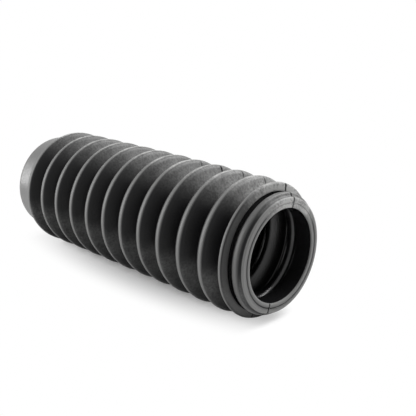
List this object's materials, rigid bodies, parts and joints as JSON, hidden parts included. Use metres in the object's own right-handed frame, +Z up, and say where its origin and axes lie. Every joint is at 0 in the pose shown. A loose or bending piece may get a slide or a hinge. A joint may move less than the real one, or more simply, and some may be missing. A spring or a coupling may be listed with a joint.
{
  "type": "fork gaiter",
  "caption": "Round black rubber bellows that slides over a motorcycle fork leg and folds as the fork moves, with a stepped mouth collar and a plain far sleeve.",
  "frame": {"origin": "on the floor under the middle of the gaiter's length, on its axis in plan", "axes": "+X along the gaiter from the plain far sleeve to the stepped mouth collar, +Z up, lying on its side"},
  "size_m": [0.2044, 0.0762, 0.0761],
  "materials": {
    "rubber": "matte moulded rubber with a faint grey bloom"
  },
  "bodies": {
    "root": {"gaiter": "rubber"}
  },
  "joints": []
}
